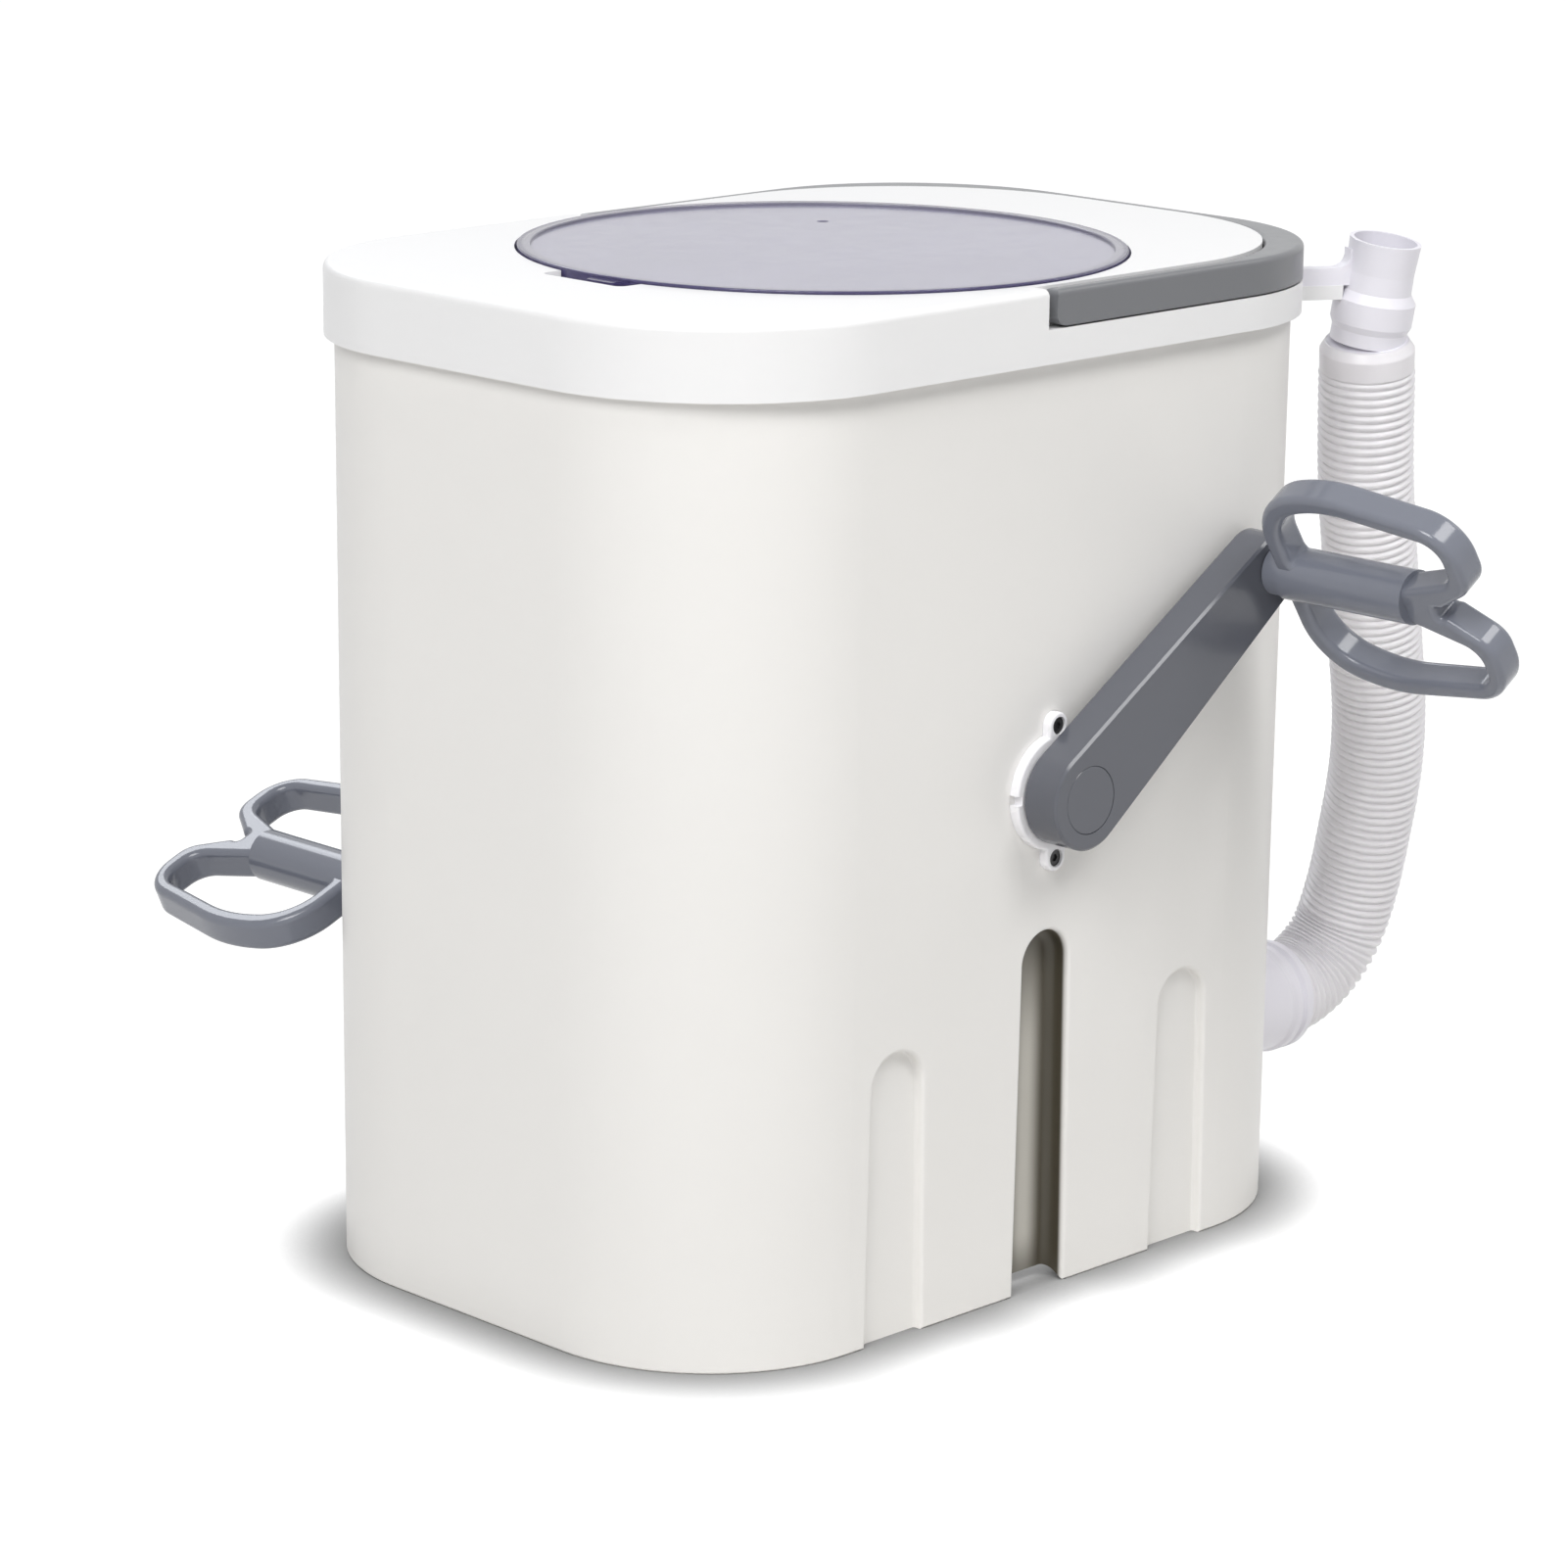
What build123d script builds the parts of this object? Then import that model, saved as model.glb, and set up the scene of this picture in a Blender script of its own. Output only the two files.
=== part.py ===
from build123d import *
from math import cos, hypot, radians, sin, tan
import os

os.makedirs("parts", exist_ok=True)

# Manual clothes washer, in millimetres. The origin is on the floor under the middle of the tub, +X points
# to the drain hose, -Y to the crank that the photograph shows and +Z up.

# Tub
tub_length = 383.2
tub_width = 263.2
tub_corner = 80.4
tub_wall = 3.0
tub_draft = 0.14
rim_height = 393.0
floor_top = 38.0
floor_thickness = 3.0
foot_gap = 5.5
side_arch_spacing = 171.0
side_arch_height = 120.0
side_arch_width = 29.0
side_arch_depth = 4.2
side_arch_inner_round = 1.2
middle_arch_height = 153.5
middle_arch_width = 27.3
middle_arch_depth = 9.5
middle_arch_inner_round = 4.5
arch_spread = 1.7
arch_edge_round = 1.5
foot_chamfer = 0.8

# Cover and lid
cover_overhang_end = 4.9
cover_overhang_side = 6.4
cover_corner_growth = 6.6
cover_rise = 23.5
skirt_overlap = 6.1
deck_thickness = 3.0
cover_edge_round = 3.0
seal_thickness = 3.0
skirt_clearance = 0.4
lid_margin = 13.0
lid_gap = 1.0
lid_seat_width = 7.0
lid_seat_depth = 8.5
lid_seat_thickness = 2.5
lid_ring_wall = 3.0
lid_proud = 1.2
lid_rim_width = 5.5
lid_rim_height = 1.2
lid_panel_thickness = 2.5
lid_skirt_thickness = 2.5
vent_radius = 2.5
vent_inset = 53.5
vent_angle = 44.7
tab_width = 15.0
tab_length = 6.0
tab_thickness = 4.0
tab_offset = -6.0
notch_width = 46.0
notch_length = 9.0
notch_depth = 7.0

# Carrying handle
handle_inset_side = 8.0
handle_inset_end = 9.0
handle_corner_growth = 13.0
handle_clearance = 0.6
handle_height = 14.6
handle_gap_below = 0.8
handle_end = -9.0
rebate_end = -14.0
rebate_wall = 4.0
handle_round = 2.5
handle_end_round = 5.4
pivot_from_end = 7.0
pivot_height = 8.0
pivot_radius = 2.5
pivot_length = 3.0
pin_clearance = 0.06

# Crank
hub_height = 212.0
shaft_radius = 8.0
running_clearance = 0.06
fit_clearance = 0.03
square_size = 11.0
square_length = 9.0
bush_radius = 12.0
bush_length = 13.0
seal_length = 4.0
boss_radius = 17.0
flange_radius = 24.0
flange_thickness = 4.2
flange_seat_step = 0.3
ear_radius = 5.5
screw_spacing = 54.8
flange_bore = 9.0
flange_notch = 4.0
arm_gap = 1.2
arm_thickness = 16.5
arm_hub_radius = 20.8
arm_end_radius = 14.6
arm_wall = 3.0
arm_chamfer = 1.0
crank_radius = 136.0
crank_angle = 35.0
cap_radius = 14.0
cap_thickness = 1.5
arm_web = 2.5
head_radius = 6.5
head_height = 3.4
shank_radius = 3.0
shank_length = 14.0

# Agitator
hub_radius = 18.0
hub_end_clearance = 8.9
paddle_radius = 148.0
paddle_end_inset = 2.0
paddle_thickness = 4.0
paddle_slot = 6.0
paddle_corner = 26.0
paddle_hole = 6.5
paddle_hole_pitch = 24.0
paddle_start_angle = 45.0
cross_pin_radius = 2.5
cross_pin_spacing = 150.0

# Grip
spindle_radius = 5.0
spindle_depth = 78.0
grip_bush_radius = 7.5
grip_bush_flange = 9.5
grip_bush_flange_thickness = 1.5
washer_radius = 8.0
washer_thickness = 1.2
spindle_recess = 4.0
spindle_screw_radius = 2.5
spindle_head_radius = 4.5
spindle_head_height = 2.0
collar_radius = 10.5
collar_length = 5.4
collar_gap = 0.4
barrel_radius = 11.3
barrel_length = 72.0
grip_half_width = 54.0
grip_length = 101.4
grip_start = 7.3
grip_depth = 14.4
strap_thickness = 8.4
grip_round = 2.9
front_grip_angle = -56.6
rear_grip_angle = 23.0

# Drain hose
hose_radius = 20.7
hose_bore = 17.4
rib_height = 1.5
rib_pitch = 3.7
drain_inside_side = 69.6
drain_height = 64.5
spigot_bore = 12.0
spigot_thread_radius = 15.0
spigot_barb_length = 24.0
spigot_flange_radius = 22.0
spigot_flange_thickness = 3.0
drain_gasket_thickness = 2.0
nut_thickness = 6.0
strainer_length = 10.0
cuff_radius = 23.2
cuff_length = 36.0
cuff_bead = 1.3
top_cuff_length = 13.0
hose_bend_radii = (390.0, 260.0, 150.0, 36.0)
# The first bend is measured from the nozzle's seat and the others from the hose's end at the drain
hose_upper_bend = (10.9, 7.0, -62.5)
hose_lower_bends = ((68.5, -29.0, 115.5), (74.5, -12.0, 47.5), (69.5, 0.0, 0.0))

# Nozzle and its lug
nozzle_beside_end = 20.1
nozzle_inside_side = 25.8
nozzle_drop = 48.0
nozzle_lean = (0.03, -0.16)
nozzle_length = 43.5
nozzle_radius = 14.6
nozzle_wall = 1.8
mouth_radius = 15.3
nozzle_collar_radius = 17.5
nozzle_insert_length = 16.0
lug_width = 8.0
ear_width = 9.0
ear_height = 6.0
lug_height = 7.2
lug_round = 6.0

# Heights and places that follow from the values above
cover_length = tub_length + 2 * cover_overhang_end
cover_width = tub_width + 2 * cover_overhang_side
cover_corner = tub_corner + cover_corner_growth
deck_height = rim_height + cover_rise
skirt_height = rim_height - skirt_overlap
seat_height = rim_height + seal_thickness
lid_radius = cover_width / 2 - lid_margin
lid_seat_height = deck_height - lid_seat_depth
vent_distance = lid_radius - vent_inset
handle_inner_corner = cover_corner + handle_corner_growth
flange_seat = tub_width / 2 + flange_seat_step
handle_top = deck_height - 0.5
handle_bottom = handle_top - handle_height
ledge_height = handle_bottom - handle_gap_below
pivot_x = handle_end + pivot_from_end
pivot_z = handle_bottom + pivot_height
opening_radius = lid_radius + lid_gap
inner_length = cover_length - 2 * handle_inset_end
inner_width = cover_width - 2 * handle_inset_side
flange_face = flange_seat + flange_thickness
arm_back = flange_face + arm_gap
arm_front = arm_back + arm_thickness
bush_end = flange_seat - bush_length
boss_end = bush_end - seal_length
hub_length = 2 * (boss_end - hub_end_clearance)
paddle_width = hub_length - 2 * paddle_end_inset
drain_face = tub_length / 2 + 1.4
drain_y = drain_inside_side - tub_width / 2
drain_inner_face = drain_face - 15.0
hose_start_x = drain_face + spigot_flange_thickness
nozzle_seat = (
    cover_length / 2 + nozzle_beside_end,
    nozzle_inside_side - cover_width / 2,
    deck_height - nozzle_drop,
)


def save(builder, name):
    builder.part.label = name
    export_step(builder.part, "parts/" + name + ".step")


def tub_outline(inset, height):
    grow = height * tan(radians(tub_draft)) - inset
    with BuildSketch(Plane.XY.offset(height)) as flat:
        RectangleRounded(tub_length + 2 * grow, tub_width + 2 * grow, tub_corner + grow)
    return flat.sketch


def arch_outline(plane, x, width, height, grow, base):
    half_top = width / 2 + grow
    half_low = half_top + arch_spread
    spring = height - width / 2
    with BuildSketch(plane) as flat:
        with BuildLine():
            Polyline((x - half_top, spring), (x - half_low, base), (x + half_low, base), (x + half_top, spring))
            ThreePointArc((x - half_top, spring), (x, spring + half_top), (x + half_top, spring))
        make_face()
    return flat.sketch


def flange_outline(plane, grow):
    with BuildSketch(plane) as flat:
        with Locations((0, screw_spacing / 2), (0, -screw_spacing / 2)):
            Circle(ear_radius + grow)
        Rectangle(2 * (ear_radius + grow), screw_spacing)
        Circle(flange_radius + grow)
    return flat.sketch


side_arch = (side_arch_width, side_arch_height, side_arch_depth, side_arch_inner_round)
middle_arch = (middle_arch_width, middle_arch_height, middle_arch_depth, middle_arch_inner_round)
arches = [
    (-side_arch_spacing / 2, *side_arch),
    (0, *middle_arch),
    (side_arch_spacing / 2, *side_arch),
]

# The wash space is what the tub's walls leave free: the arches stand into it as washing ribs
with BuildPart() as wash_space:
    extrude(tub_outline(tub_wall, floor_top), amount=rim_height - floor_top + 1, taper=-tub_draft)
    for x, width, height, depth, inner_round in arches:
        for side in (1, -1):
            back = Plane.XZ.offset(side * (tub_width / 2 - depth - tub_wall))
            extrude(
                arch_outline(back, x, width, height, tub_wall, floor_top - 1),
                amount=side * (depth + tub_wall + 5),
                mode=Mode.SUBTRACT,
            )

# The hollow foot below the floor
with BuildPart() as foot_space:
    extrude(tub_outline(tub_wall, -1), amount=floor_top - floor_thickness + 1)
    for x, width, height, depth, inner_round in arches:
        for side in (1, -1):
            back = Plane.XZ.offset(side * (tub_width / 2 - depth - tub_wall))
            extrude(
                arch_outline(back, x, width, height, tub_wall, -2),
                amount=side * (depth + tub_wall + 5),
                mode=Mode.SUBTRACT,
            )

# The arches pressed into both long walls, with rounded inner corners
with BuildPart() as arch_spaces:
    for x, width, height, depth, inner_round in arches:
        for side in (1, -1):
            back = Plane.XZ.offset(side * (tub_width / 2 - depth))
            with BuildPart(mode=Mode.PRIVATE) as arch_space:
                extrude(arch_outline(back, x, width, height, 0, -2 * inner_round), amount=side * (depth + 5))
                fillet(arch_space.faces().sort_by(Axis((0, 0, 0), (0, -side, 0)))[0].edges(), inner_round)
            add(arch_space.part)

with BuildPart() as tub:
    extrude(tub_outline(0, 0), amount=rim_height, taper=-tub_draft)
    chamfer(tub.edges().group_by(Axis.Z)[0], foot_chamfer)
    add(arch_spaces.part, mode=Mode.SUBTRACT)
    arch_edges = tub.edges().filter_by(lambda edge: 1 < edge.center().Z < middle_arch_height + 1)
    arch_edges = arch_edges.filter_by(lambda edge: abs(edge.center().X) < side_arch_spacing / 2 + side_arch_width)
    arch_edges = arch_edges.filter_by(lambda edge: abs(edge.center().Y) > tub_width / 2 - 0.5)
    fillet(arch_edges, arch_edge_round)
    add(wash_space.part, mode=Mode.SUBTRACT)
    add(foot_space.part, mode=Mode.SUBTRACT)
    # The back of the middle arch ends above the floor, and the sides of the arch slope up to it
    for side in (1, -1):
        outer_y = side * tub_width / 2
        back_y = side * (tub_width / 2 - middle_arch_depth)
        with BuildSketch(Plane.YZ.offset(-(middle_arch_width / 2 + arch_spread + tub_wall))):
            with BuildLine():
                Polyline(
                    (outer_y, -1),
                    (outer_y, 0),
                    (back_y, foot_gap),
                    (back_y - side * (tub_wall + 1), foot_gap),
                    (back_y - side * (tub_wall + 1), -1),
                    close=True,
                )
            make_face()
        extrude(amount=middle_arch_width + 2 * (arch_spread + tub_wall), mode=Mode.SUBTRACT)
    # Bearing bosses inside both long walls, and the bosses of the flange screws
    for side in (1, -1):
        with BuildSketch(Plane.XZ.offset(side * boss_end)):
            with Locations((0, hub_height)):
                Circle(boss_radius)
        extrude(amount=side * (flange_seat - 1 - boss_end))
        with BuildSketch(Plane.XZ.offset(side * (flange_seat - 11))):
            with Locations((0, hub_height + screw_spacing / 2), (0, hub_height - screw_spacing / 2)):
                Circle(ear_radius - 0.5)
        extrude(amount=side * 10)
        seat = Plane(origin=(0, -side * flange_seat, hub_height), x_dir=(1, 0, 0), z_dir=(0, -side, 0))
        extrude(flange_outline(seat, 0.3), amount=5, mode=Mode.SUBTRACT)
        with BuildSketch(seat):
            Circle(bush_radius + fit_clearance)
        extrude(amount=-(bush_length + seal_length + 1), mode=Mode.SUBTRACT)
        with BuildSketch(seat):
            with Locations((0, screw_spacing / 2), (0, -screw_spacing / 2)):
                Circle(1.6)
        extrude(amount=-8, mode=Mode.SUBTRACT)
    # Drain boss on the end wall, with flat faces outside and inside
    drain_axis = Plane(origin=(drain_face, drain_y, drain_height), x_dir=(0, 1, 0), z_dir=(1, 0, 0))
    with BuildSketch(drain_axis):
        Circle(spigot_flange_radius + 1)
    extrude(amount=-(drain_face - drain_inner_face))
    with BuildSketch(drain_axis):
        Circle(spigot_thread_radius + fit_clearance)
    extrude(amount=-(drain_face - drain_inner_face + 5), mode=Mode.SUBTRACT)
save(tub, "tub")

with BuildPart() as cover_seal:
    extrude(tub_outline(0, rim_height), amount=seal_thickness)
    extrude(tub_outline(tub_wall, rim_height), amount=seal_thickness, mode=Mode.SUBTRACT)
save(cover_seal, "cover_seal")

# The nozzle stands outside the cover's corner; its lug points at the centre of that corner
corner_x = cover_length / 2 - cover_corner
corner_y = -(cover_width / 2 - cover_corner)
ear_top = skirt_height + ear_height
rise = ear_top - nozzle_seat[2]
nozzle_at_ear = (nozzle_seat[0] + nozzle_lean[0] * rise, nozzle_seat[1] + nozzle_lean[1] * rise)
lug_distance = hypot(nozzle_at_ear[0] - corner_x, nozzle_at_ear[1] - corner_y)
lug_direction = (
    (nozzle_at_ear[0] - corner_x) / lug_distance,
    (nozzle_at_ear[1] - corner_y) / lug_distance,
    0,
)
nozzle_plane = Plane(origin=nozzle_seat, x_dir=(1, 0, 0), z_dir=(nozzle_lean[0], nozzle_lean[1], 1))

with BuildPart() as cover:
    with BuildSketch(Plane.XY.offset(skirt_height)):
        RectangleRounded(cover_length, cover_width, cover_corner)
    extrude(amount=deck_height - skirt_height)
    fillet(cover.edges().group_by(Axis.Z)[-1], cover_edge_round)
    # Room for the tub's rim under the skirt
    extrude(tub_outline(-skirt_clearance, skirt_height), amount=seat_height - skirt_height, mode=Mode.SUBTRACT)
    # Hollow under the deck at both ends, outside the ring wall of the lid's seat
    with BuildSketch(Plane.XY.offset(seat_height)):
        RectangleRounded(
            inner_length - 2 * rebate_wall, inner_width - 2 * rebate_wall, handle_inner_corner - rebate_wall
        )
        Circle(opening_radius + lid_ring_wall, mode=Mode.SUBTRACT)
        with Locations((-(opening_radius + notch_length / 2), 0)):
            Rectangle(notch_length + 6, notch_width + 6, mode=Mode.SUBTRACT)
    extrude(amount=deck_height - deck_thickness - seat_height, mode=Mode.SUBTRACT)
    # Opening, ledge for the lid and the space under the ledge
    with BuildSketch(Plane.XY.offset(lid_seat_height)):
        Circle(opening_radius)
    extrude(amount=deck_height - lid_seat_height + 1, mode=Mode.SUBTRACT)
    with BuildSketch(Plane.XY.offset(seat_height)):
        Circle(opening_radius - lid_seat_width)
    extrude(amount=deck_height - seat_height, mode=Mode.SUBTRACT)
    with BuildSketch(Plane.XY.offset(seat_height)):
        Circle(opening_radius)
    extrude(amount=lid_seat_height - lid_seat_thickness - seat_height, mode=Mode.SUBTRACT)
    with BuildSketch(Plane.XY.offset(deck_height - notch_depth)):
        with Locations((-(opening_radius + notch_length / 2 - 4), 0)):
            RectangleRounded(notch_length + 8, notch_width, 4)
    extrude(amount=notch_depth + 1, mode=Mode.SUBTRACT)
    # Rebate for the handle round the drain half, and the holes for its stub pins
    with BuildSketch(Plane.XY.offset(ledge_height)):
        with Locations((rebate_end + cover_length / 2, 0)):
            Rectangle(cover_length, cover_width + 10)
        RectangleRounded(inner_length, inner_width, handle_inner_corner, mode=Mode.SUBTRACT)
    extrude(amount=deck_height - ledge_height + 1, mode=Mode.SUBTRACT)
    for side in (1, -1):
        with BuildSketch(Plane.XZ.offset(side * inner_width / 2)):
            with Locations((pivot_x, pivot_z)):
                Circle(pivot_radius + pin_clearance)
        extrude(amount=-side * (pivot_length - handle_clearance + 0.4), mode=Mode.SUBTRACT)
    # Lug for the nozzle, at the foot of the skirt
    ear_plane = Plane(origin=(corner_x, corner_y, skirt_height), x_dir=lug_direction, z_dir=(0, 0, 1))
    with BuildSketch(ear_plane):
        with Locations((cover_corner - 1, 0)):
            Rectangle(lug_distance - cover_corner + 1, ear_width, align=(Align.MIN, Align.CENTER))
    extrude(amount=ear_height)
    with BuildSketch(nozzle_plane):
        Circle(nozzle_collar_radius + fit_clearance)
    extrude(amount=40, mode=Mode.SUBTRACT)
save(cover, "cover")

lid_top = deck_height + lid_proud
panel_top = lid_top - lid_rim_height
with BuildPart() as lid:
    with BuildSketch(Plane.XY.offset(lid_seat_height)):
        Circle(lid_radius)
    extrude(amount=lid_top - lid_seat_height)
    with BuildSketch(Plane.XY.offset(panel_top)):
        Circle(lid_radius - lid_rim_width)
    extrude(amount=lid_rim_height, mode=Mode.SUBTRACT)
    fillet(lid.edges().group_by(Axis.Z)[-1], lid_rim_height / 2)
    with BuildSketch(Plane.XY.offset(lid_seat_height)):
        Circle(lid_radius - lid_skirt_thickness)
    extrude(amount=panel_top - lid_panel_thickness - lid_seat_height, mode=Mode.SUBTRACT)
    with BuildSketch(Plane.XY.offset(panel_top)):
        with Locations((-(lid_radius + tab_length / 2 - lid_skirt_thickness / 2), tab_offset)):
            RectangleRounded(tab_length + lid_skirt_thickness, tab_width, 2)
    extrude(amount=-tab_thickness)
    with BuildSketch(Plane.XY.offset(panel_top)):
        with PolarLocations(vent_distance, 1, start_angle=vent_angle):
            Circle(vent_radius)
    extrude(amount=-lid_panel_thickness, mode=Mode.SUBTRACT)
save(lid, "lid")

with BuildPart() as handle:
    with BuildSketch(Plane.XY.offset(handle_bottom)):
        RectangleRounded(cover_length, cover_width, cover_corner)
        RectangleRounded(
            inner_length + 2 * handle_clearance,
            inner_width + 2 * handle_clearance,
            handle_inner_corner + handle_clearance,
            mode=Mode.SUBTRACT,
        )
        with Locations((handle_end - cover_length / 2, 0)):
            Rectangle(cover_length, cover_width + 10, mode=Mode.SUBTRACT)
    extrude(amount=handle_height)
    end_edges = handle.edges().filter_by(Axis.Y).filter_by(lambda edge: edge.center().X < handle_end + 0.1)
    fillet(end_edges.group_by(Axis.Z)[0], handle_end_round)
    fillet(handle.faces().sort_by(Axis.Z)[-1].edges(), handle_round)
    for side in (1, -1):
        with BuildSketch(Plane.XZ.offset(side * (inner_width / 2 + handle_clearance + 1))):
            with Locations((pivot_x, pivot_z)):
                Circle(pivot_radius)
        extrude(amount=-side * (pivot_length + 1))
save(handle, "handle")

# Bearings in both long walls. Each outward plane has its origin on the flange's seat.
for end, side in (("front", -1), ("rear", 1)):
    seat = Plane(origin=(0, side * flange_seat, hub_height), x_dir=(1, 0, 0), z_dir=(0, side, 0))

    with BuildPart() as bearing_flange:
        extrude(flange_outline(seat, 0), amount=flange_thickness)
        fillet(bearing_flange.faces().sort_by(Axis((0, 0, 0), (0, side, 0)))[-1].edges(), 1.2)
        with BuildSketch(seat):
            Circle(flange_bore)
        extrude(amount=flange_thickness, mode=Mode.SUBTRACT)
        with BuildSketch(seat):
            with Locations((flange_radius, 0), (-flange_radius, 0)):
                Rectangle(6, flange_notch)
        extrude(amount=flange_thickness, mode=Mode.SUBTRACT)
        with BuildSketch(seat):
            with Locations((0, screw_spacing / 2), (0, -screw_spacing / 2)):
                Circle(2.0)
        extrude(amount=flange_thickness, mode=Mode.SUBTRACT)
        with BuildSketch(seat.offset(flange_thickness - 2.6)):
            with Locations((0, screw_spacing / 2), (0, -screw_spacing / 2)):
                Circle(3.7)
        extrude(amount=3, mode=Mode.SUBTRACT)
    save(bearing_flange, "bearing_flange_" + end)

    with BuildPart() as flange_screws:
        with BuildSketch(seat.offset(-7)):
            with Locations((0, screw_spacing / 2), (0, -screw_spacing / 2)):
                Circle(1.6)
        extrude(amount=7 + flange_thickness - 2.6)
        with BuildSketch(seat.offset(flange_thickness - 2.6)):
            with Locations((0, screw_spacing / 2), (0, -screw_spacing / 2)):
                Circle(3.3)
        extrude(amount=1.6)
        with BuildSketch(seat.offset(flange_thickness - 2.6 + 0.7)):
            with Locations((0, screw_spacing / 2), (0, -screw_spacing / 2)):
                RegularPolygon(1.7, 6)
        extrude(amount=2, mode=Mode.SUBTRACT)
    save(flange_screws, "flange_screws_" + end)

    with BuildPart() as shaft_bush:
        with BuildSketch(seat):
            Circle(bush_radius)
            Circle(shaft_radius + running_clearance, mode=Mode.SUBTRACT)
        extrude(amount=-bush_length)
    save(shaft_bush, "shaft_bush_" + end)

    with BuildPart() as shaft_seal:
        with BuildSketch(seat.offset(-bush_length)):
            Circle(bush_radius)
            Circle(shaft_radius + running_clearance, mode=Mode.SUBTRACT)
        extrude(amount=-seal_length)
        with BuildSketch(seat.offset(-bush_length - seal_length)):
            Circle(bush_radius - 1.5)
            Circle(shaft_radius + 1.2, mode=Mode.SUBTRACT)
        extrude(amount=seal_length - 1.5, mode=Mode.SUBTRACT)
    save(shaft_seal, "shaft_seal_" + end)

with BuildPart() as crankshaft:
    with BuildSketch(Plane.XZ.offset(arm_back)):
        with Locations((0, hub_height)):
            Circle(shaft_radius)
    extrude(amount=-2 * arm_back)
    for side in (1, -1):
        with BuildSketch(Plane.XZ.offset(side * arm_back)):
            with Locations((0, hub_height)):
                Rectangle(square_size, square_size, rotation=crank_angle)
        extrude(amount=side * square_length)
        with BuildSketch(Plane.XZ.offset(side * (arm_back + square_length))):
            with Locations((0, hub_height)):
                Circle(shank_radius)
        extrude(amount=-side * (shank_length - arm_web), mode=Mode.SUBTRACT)
    with BuildSketch(Plane.YZ):
        with Locations((cross_pin_spacing / 2, hub_height), (-cross_pin_spacing / 2, hub_height)):
            Circle(cross_pin_radius)
    extrude(amount=shaft_radius + 1, both=True, mode=Mode.SUBTRACT)
save(crankshaft, "crankshaft")

with BuildPart() as agitator_hub:
    with BuildSketch(Plane.XZ):
        with Locations((0, hub_height)):
            Circle(hub_radius)
            Circle(shaft_radius + fit_clearance, mode=Mode.SUBTRACT)
    extrude(amount=hub_length / 2, both=True)
    for step in range(4):
        turn = radians(paddle_start_angle + 90 * step)
        with BuildSketch(Plane.XZ):
            with Locations((hub_radius * cos(turn), hub_height + hub_radius * sin(turn))):
                Rectangle(
                    2 * paddle_slot,
                    paddle_thickness + 2 * fit_clearance,
                    rotation=paddle_start_angle + 90 * step,
                )
        extrude(amount=hub_length / 2, both=True, mode=Mode.SUBTRACT)
    with BuildSketch(Plane.YZ):
        with Locations((cross_pin_spacing / 2, hub_height), (-cross_pin_spacing / 2, hub_height)):
            Circle(cross_pin_radius)
    extrude(amount=hub_radius + 1, both=True, mode=Mode.SUBTRACT)
save(agitator_hub, "agitator_hub")

with BuildPart() as hub_pins:
    with BuildSketch(Plane.YZ):
        with Locations((cross_pin_spacing / 2, hub_height), (-cross_pin_spacing / 2, hub_height)):
            Circle(cross_pin_radius)
    extrude(amount=hub_radius - 0.5, both=True)
save(hub_pins, "hub_pins")

paddle_root = hub_radius - paddle_slot
for step in range(4):
    turn = radians(paddle_start_angle + 90 * step)
    blade = Plane(origin=(0, 0, hub_height), x_dir=(cos(turn), 0, sin(turn)), z_dir=(-sin(turn), 0, cos(turn)))
    with BuildPart() as paddle:
        with BuildSketch(blade) as outline:
            with Locations((paddle_root, 0)):
                Rectangle(paddle_radius - paddle_root, paddle_width, align=(Align.MIN, Align.CENTER))
            fillet(outline.vertices().group_by(Axis.X)[-1], paddle_corner)
            with Locations(((hub_radius + paddle_radius) / 2, 0)):
                with GridLocations(paddle_hole_pitch, paddle_hole_pitch, 4, 7):
                    Circle(paddle_hole, mode=Mode.SUBTRACT)
        extrude(amount=paddle_thickness / 2, both=True)
    save(paddle, "paddle_" + str(step + 1))

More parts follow.
